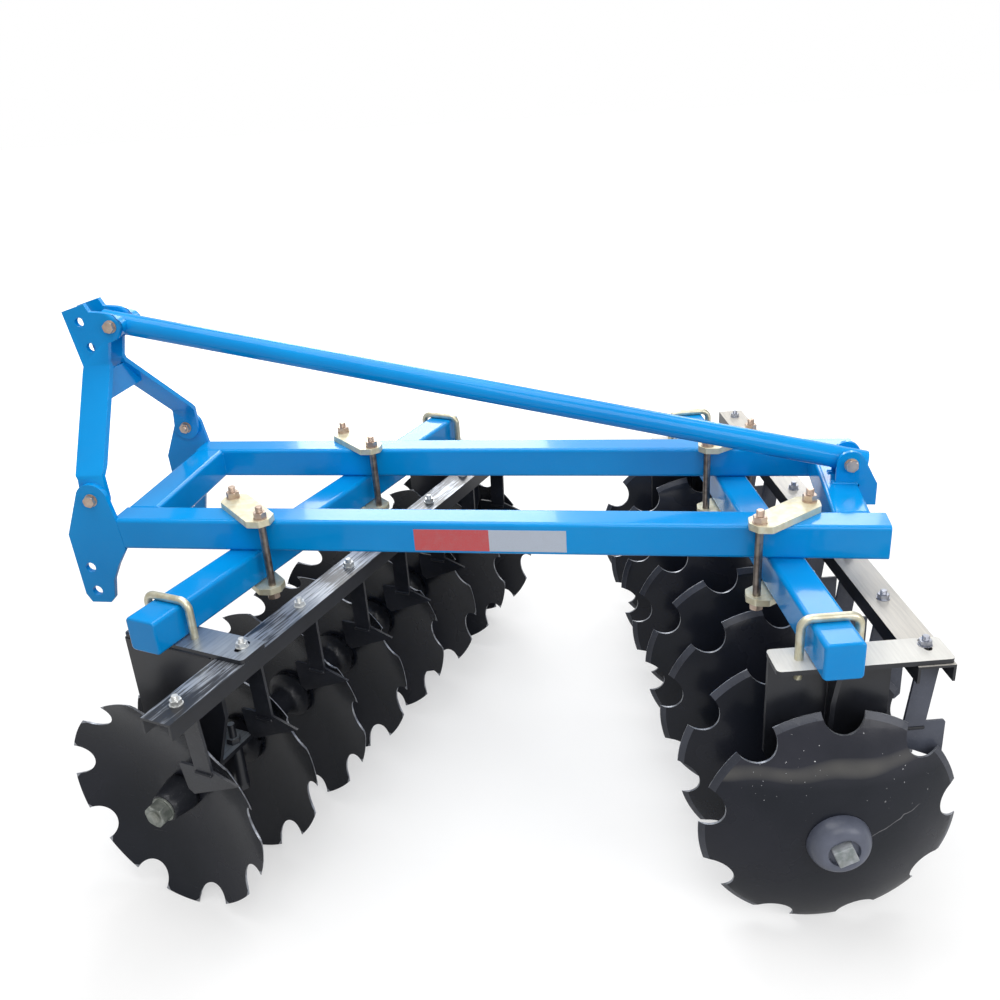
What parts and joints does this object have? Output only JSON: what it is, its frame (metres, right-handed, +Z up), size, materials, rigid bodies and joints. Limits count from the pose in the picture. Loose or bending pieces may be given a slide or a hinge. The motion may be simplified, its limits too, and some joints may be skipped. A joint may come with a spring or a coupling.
{
  "type": "disc harrow",
  "caption": "Mounted offset disc harrow: a blue tube frame with hitch mast and brace over two gangs of notched dished discs that turn freely, each with a row of scrapers.",
  "frame": {"origin": "middle of the machine's outline on the floor that the discs stand on", "axes": "+X forward to the tractor, +Y to the machine's left, +Z up"},
  "size_m": [2.3264, 2.0476, 1.445],
  "materials": {
    "frame_paint": "gloss blue paint",
    "disc_paint": "satin blue-black paint",
    "axle_steel": "satin black paint",
    "clamp_zinc": "yellow zinc plate",
    "u_bolt_zinc": "yellow zinc plate",
    "bolt_steel": "zinc plate",
    "hanger_paint": "satin blue-black paint",
    "scraper_paint": "satin blue-black paint, worn bright on top"
  },
  "bodies": {
    "frame": {"brace_front_bolt": "bolt_steel", "brace_pipe": "frame_paint", "brace_rear_bolt": "bolt_steel", "front_cross_tube": "frame_paint", "front_gang_tube": "frame_paint", "front_left_clamp": "clamp_zinc", "front_left_hanger": "hanger_paint", "front_left_u_bolt": "u_bolt_zinc", "front_right_clamp": "clamp_zinc", "front_right_hanger": "hanger_paint", "front_right_u_bolt": "u_bolt_zinc", "front_scraper_beam": "scraper_paint", "left_brace_lug": "frame_paint", "left_hitch_plate": "frame_paint", "left_mast_bolt": "bolt_steel", "left_mast_plate": "frame_paint", "left_side_tube": "frame_paint", "mast_gusset": "frame_paint", "rear_cross_tube": "frame_paint", "rear_gang_tube": "frame_paint", "rear_left_clamp": "clamp_zinc", "rear_left_hanger": "hanger_paint", "rear_left_u_bolt": "u_bolt_zinc", "rear_right_clamp": "clamp_zinc", "rear_right_hanger": "hanger_paint", "rear_right_u_bolt": "u_bolt_zinc", "rear_scraper_beam": "scraper_paint", "right_brace_lug": "frame_paint", "right_hitch_plate": "frame_paint", "right_mast_bolt": "bolt_steel", "right_mast_plate": "frame_paint", "right_side_tube": "frame_paint"},
    "front_gang": {"front_disc_1": "disc_paint", "front_disc_2": "disc_paint", "front_disc_3": "disc_paint", "front_disc_4": "disc_paint", "front_disc_5": "disc_paint", "front_disc_6": "disc_paint", "front_disc_7": "disc_paint", "front_disc_8": "disc_paint", "front_gang_axle": "axle_steel"},
    "rear_gang": {"rear_disc_1": "disc_paint", "rear_disc_2": "disc_paint", "rear_disc_3": "disc_paint", "rear_disc_4": "disc_paint", "rear_disc_5": "disc_paint", "rear_disc_6": "disc_paint", "rear_disc_7": "disc_paint", "rear_disc_8": "disc_paint", "rear_gang_axle": "axle_steel"}
  },
  "joints": [
    {"name": "front_gang_spin", "type": "hinge", "parent": "frame", "child": "front_gang", "pos_m": [0.54695, 0.09569, 0.305], "axis": [0.284, 0.9588, 0], "continuous": true},
    {"name": "rear_gang_spin", "type": "hinge", "parent": "frame", "child": "rear_gang", "pos_m": [-0.73948, 0.09355, 0.305], "axis": [-0.1977, 0.9803, 0], "continuous": true}
  ]
}
